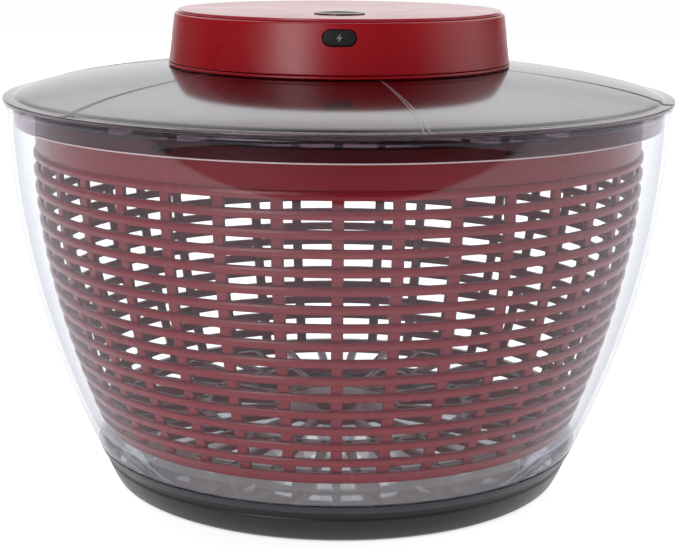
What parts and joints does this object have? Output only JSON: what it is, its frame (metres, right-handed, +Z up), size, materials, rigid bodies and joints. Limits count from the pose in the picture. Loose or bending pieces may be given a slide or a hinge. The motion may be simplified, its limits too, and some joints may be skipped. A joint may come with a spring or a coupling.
{
  "type": "salad spinner",
  "caption": "Rechargeable salad spinner: clear bowl, red slotted basket on a centre pivot, smoked lid with a red motor unit, power button and charging port.",
  "frame": {"origin": "middle of the foot ring's flat underside, on the table", "axes": "+Z up along the spin axis; the charging port and the power button face -Y"},
  "size_m": [0.265, 0.265, 0.1895],
  "materials": {
    "clear_plastic": "clear glossy polycarbonate",
    "smoked_plastic": "smoked grey see-through glossy plastic",
    "foot_rubber": "smoky grey soft non-slip rubber, satin",
    "basket_red": "muted red satin plastic",
    "housing_red": "deep red high gloss",
    "panel_red": "deep red mirror gloss",
    "button_black": "black gloss",
    "rubber_black": "matt black rubber",
    "steel": "bright steel",
    "bronze": "sintered bronze",
    "gear_plastic": "natural white acetal",
    "circuit_board": "green solder mask",
    "cell_wrap": "blue shrink wrap",
    "dark_plastic": "dark grey",
    "copper": "copper windings",
    "lead_red": "red insulated wire",
    "lead_black": "black insulated wire"
  },
  "bodies": {
    "bowl": {"bowl": "clear_plastic", "base_ring": "foot_rubber"},
    "basket": {"basket": "basket_red"},
    "lid": {"lid": "smoked_plastic", "housing_base": "housing_red", "housing_top": "housing_red", "top_panel": "panel_red", "power_switch": "dark_plastic", "circuit_board": "circuit_board", "charge_socket": "steel", "battery_cell": "cell_wrap", "battery_lead_positive": "lead_red", "battery_lead_negative": "lead_black", "motor_lead_positive": "lead_red", "motor_lead_negative": "lead_black", "motor_can": "steel", "motor_end_cap": "dark_plastic", "motor_magnet_front": "dark_plastic", "motor_magnet_back": "dark_plastic", "gear_plate": "steel", "idler_pin": "steel", "shaft_bush_lower": "bronze", "shaft_bush_upper": "bronze", "shaft_seal": "rubber_black", "housing_screw_1": "steel", "housing_screw_2": "steel", "housing_screw_3": "steel", "housing_screw_4": "steel", "plate_screw_1": "steel", "plate_screw_2": "steel", "plate_screw_3": "steel", "board_screw_1": "steel", "board_screw_2": "steel", "motor_screw_1": "steel", "motor_screw_2": "steel"},
    "drive": {"drive_shaft": "steel", "output_gear": "gear_plastic", "drive_spider": "smoked_plastic", "spider_screw": "steel"},
    "idler": {"idler_gear": "gear_plastic"},
    "motor_rotor": {"motor_armature": "copper", "motor_pinion": "bronze"},
    "power_button": {"power_button": "button_black", "switch_plunger": "rubber_black"},
    "charge_port_cover": {"charge_port_cover": "rubber_black"}
  },
  "joints": [
    {"name": "basket_spin", "type": "hinge", "parent": "bowl", "child": "basket", "pos_m": [0, 0, 0.024], "axis": [0, 0, 1], "continuous": true},
    {"name": "lid_lift", "type": "slide", "parent": "bowl", "child": "lid", "axis": [0, 0, 1], "range_m": [0, 0.12]},
    {"name": "drive_spin", "type": "hinge", "parent": "lid", "child": "drive", "pos_m": [0, 0, 0.155], "axis": [0, 0, 1], "continuous": true},
    {"name": "idler_spin", "type": "hinge", "parent": "lid", "child": "idler", "pos_m": [0.02079, -0.012, 0.158], "axis": [0, 0, 1], "continuous": true},
    {"name": "motor_spin", "type": "hinge", "parent": "lid", "child": "motor_rotor", "pos_m": [0.02079, 0.012, 0.17], "axis": [0, 0, 1], "continuous": true},
    {"name": "power_button_press", "type": "slide", "parent": "lid", "child": "power_button", "axis": [0, 0, -1], "range_m": [0, 0.0008], "stiffness_N_per_m": 1500},
    {"name": "charge_cover_flip", "type": "hinge", "parent": "lid", "child": "charge_port_cover", "pos_m": [0, -0.0659, 0.17945], "axis": [1, 0, 0], "range_deg": [0, 110]}
  ],
  "couplings": [
    {"joint": "drive_spin", "follows": "basket_spin", "ratio": 1},
    {"joint": "idler_spin", "follows": "basket_spin", "ratio": -3},
    {"joint": "motor_spin", "follows": "basket_spin", "ratio": 9}
  ]
}
